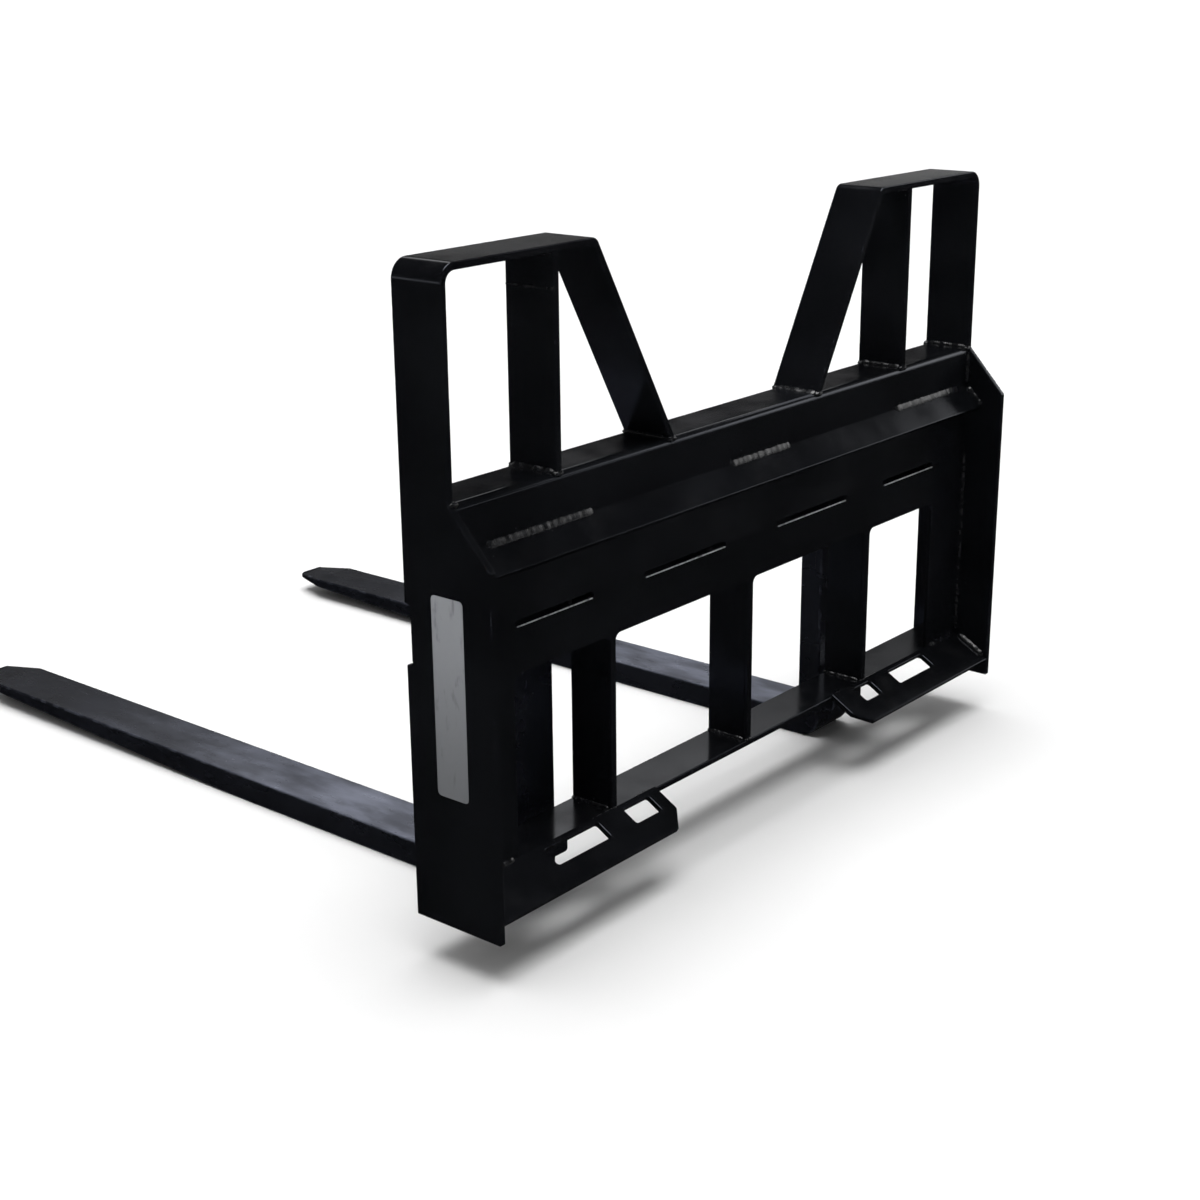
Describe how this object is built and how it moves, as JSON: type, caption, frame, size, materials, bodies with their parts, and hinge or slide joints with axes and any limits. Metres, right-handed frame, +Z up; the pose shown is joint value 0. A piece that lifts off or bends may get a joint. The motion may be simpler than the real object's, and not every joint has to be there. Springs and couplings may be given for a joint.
{
  "type": "pallet fork attachment",
  "caption": "Welded black steel carriage for a skid-steer quick coupler, with sloped top guards and hook-on L-shaped forks that slide sideways and lock with a lift pin.",
  "frame": {"origin": "bottom centre of the bounding box, on the plane under the fork blades", "axes": "+Z up, +Y from the machine towards the fork tips (longest extent), +X along the carriage"},
  "size_m": [1.18, 1.3576, 0.859],
  "materials": {
    "frame_paint": "gloss black paint over welded steel",
    "fork_paint": "black paint worn to blue-grey steel on the blades",
    "plated_steel": "zinc-plated satin steel"
  },
  "bodies": {
    "frame": {"side_plate_left": "frame_paint", "side_plate_right": "frame_paint", "latch_bracket_left": "frame_paint", "latch_bracket_right": "frame_paint", "guard_hoop_left": "frame_paint", "guard_hoop_right": "frame_paint", "guard_post_left": "frame_paint", "guard_post_right": "frame_paint", "top_tube": "frame_paint", "coupler_lip": "frame_paint", "face_plate": "frame_paint", "upright_left": "frame_paint", "upright_centre": "frame_paint", "upright_right": "frame_paint", "bottom_rail": "frame_paint", "fork_rail": "frame_paint", "lower_fork_bar": "frame_paint"},
    "left_fork": {"fork_left": "fork_paint", "top_hook_left": "fork_paint", "bottom_hook_left": "fork_paint"},
    "right_fork": {"fork_right": "fork_paint", "top_hook_right": "fork_paint", "bottom_hook_right": "fork_paint"},
    "left_latch": {"latch_pin_left": "plated_steel", "latch_collar_left": "plated_steel", "latch_handle_left": "plated_steel"},
    "right_latch": {"latch_pin_right": "plated_steel", "latch_collar_right": "plated_steel", "latch_handle_right": "plated_steel"}
  },
  "joints": [
    {"name": "left_fork_slide", "type": "slide", "parent": "frame", "child": "left_fork", "axis": [1, 0, 0], "range_m": [-0.15, 0.3]},
    {"name": "right_fork_slide", "type": "slide", "parent": "frame", "child": "right_fork", "axis": [1, 0, 0], "range_m": [-0.3, 0.15]},
    {"name": "left_latch_lift", "type": "slide", "parent": "left_fork", "child": "left_latch", "axis": [0, 0, 1], "range_m": [-0.011, 0]},
    {"name": "right_latch_lift", "type": "slide", "parent": "right_fork", "child": "right_latch", "axis": [0, 0, 1], "range_m": [-0.011, 0]}
  ]
}
